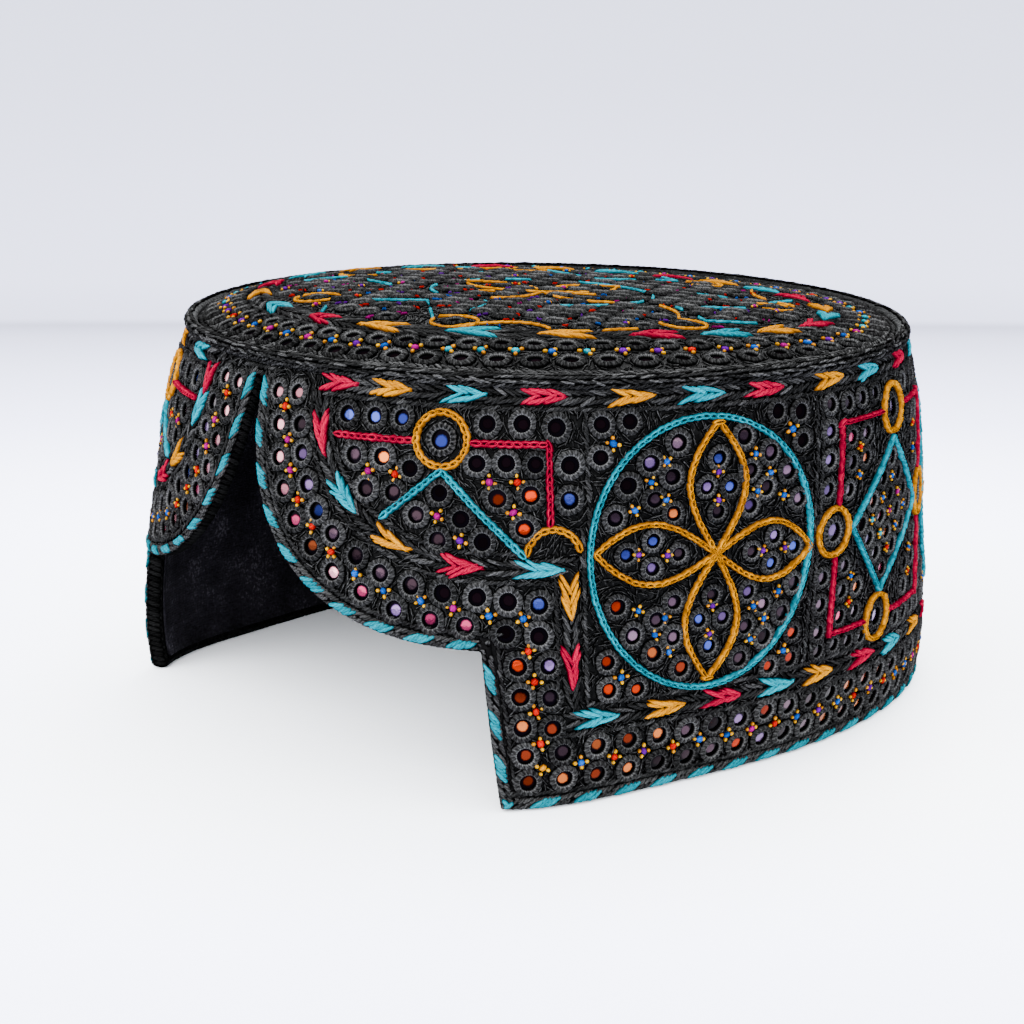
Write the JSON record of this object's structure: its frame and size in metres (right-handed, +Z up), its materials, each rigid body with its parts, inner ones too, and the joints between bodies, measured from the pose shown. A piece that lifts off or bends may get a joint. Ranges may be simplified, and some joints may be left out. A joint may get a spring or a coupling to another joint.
{
  "type": "sindhi cap",
  "caption": "Stiff round embroidered cap with a low domed crown, an arched notch at the front, a roped crown seam, a striped edge binding and many small mirrors.",
  "frame": {"origin": "middle of the cap's length and width, on the plane of its rim", "axes": "+Z up through the crown, -Y out of the front notch, +X to the right of someone who faces the front"},
  "size_m": [0.186, 0.1978, 0.0993],
  "materials": {
    "black_cloth": "stiffened black cloth under dense cotton stitching",
    "grey_black_rope": "plaited cotton thread",
    "turquoise_binding": "padded satin stitch, turquoise patches on black",
    "black_lining": "plain matt black cloth",
    "mirror": "small round tinted mirror in a stitched ring",
    "embroidery": "glossy cotton thread in black, turquoise, orange and red"
  },
  "bodies": {
    "root": {"side_band": "black_cloth", "crown_panel": "black_cloth", "seam_rope": "grey_black_rope", "edge_binding": "turquoise_binding", "band_lining": "black_lining", "crown_lining": "black_lining", "framed_mirror_01": "mirror", "framed_mirror_02": "mirror", "framed_mirror_03": "mirror", "framed_mirror_04": "mirror", "framed_mirror_05": "mirror", "framed_mirror_06": "mirror", "framed_mirror_07": "mirror", "framed_mirror_08": "mirror", "framed_mirror_09": "mirror", "framed_mirror_10": "mirror", "framed_mirror_11": "mirror", "framed_mirror_12": "mirror", "framed_mirror_13": "mirror", "framed_mirror_14": "mirror"}
  },
  "joints": []
}
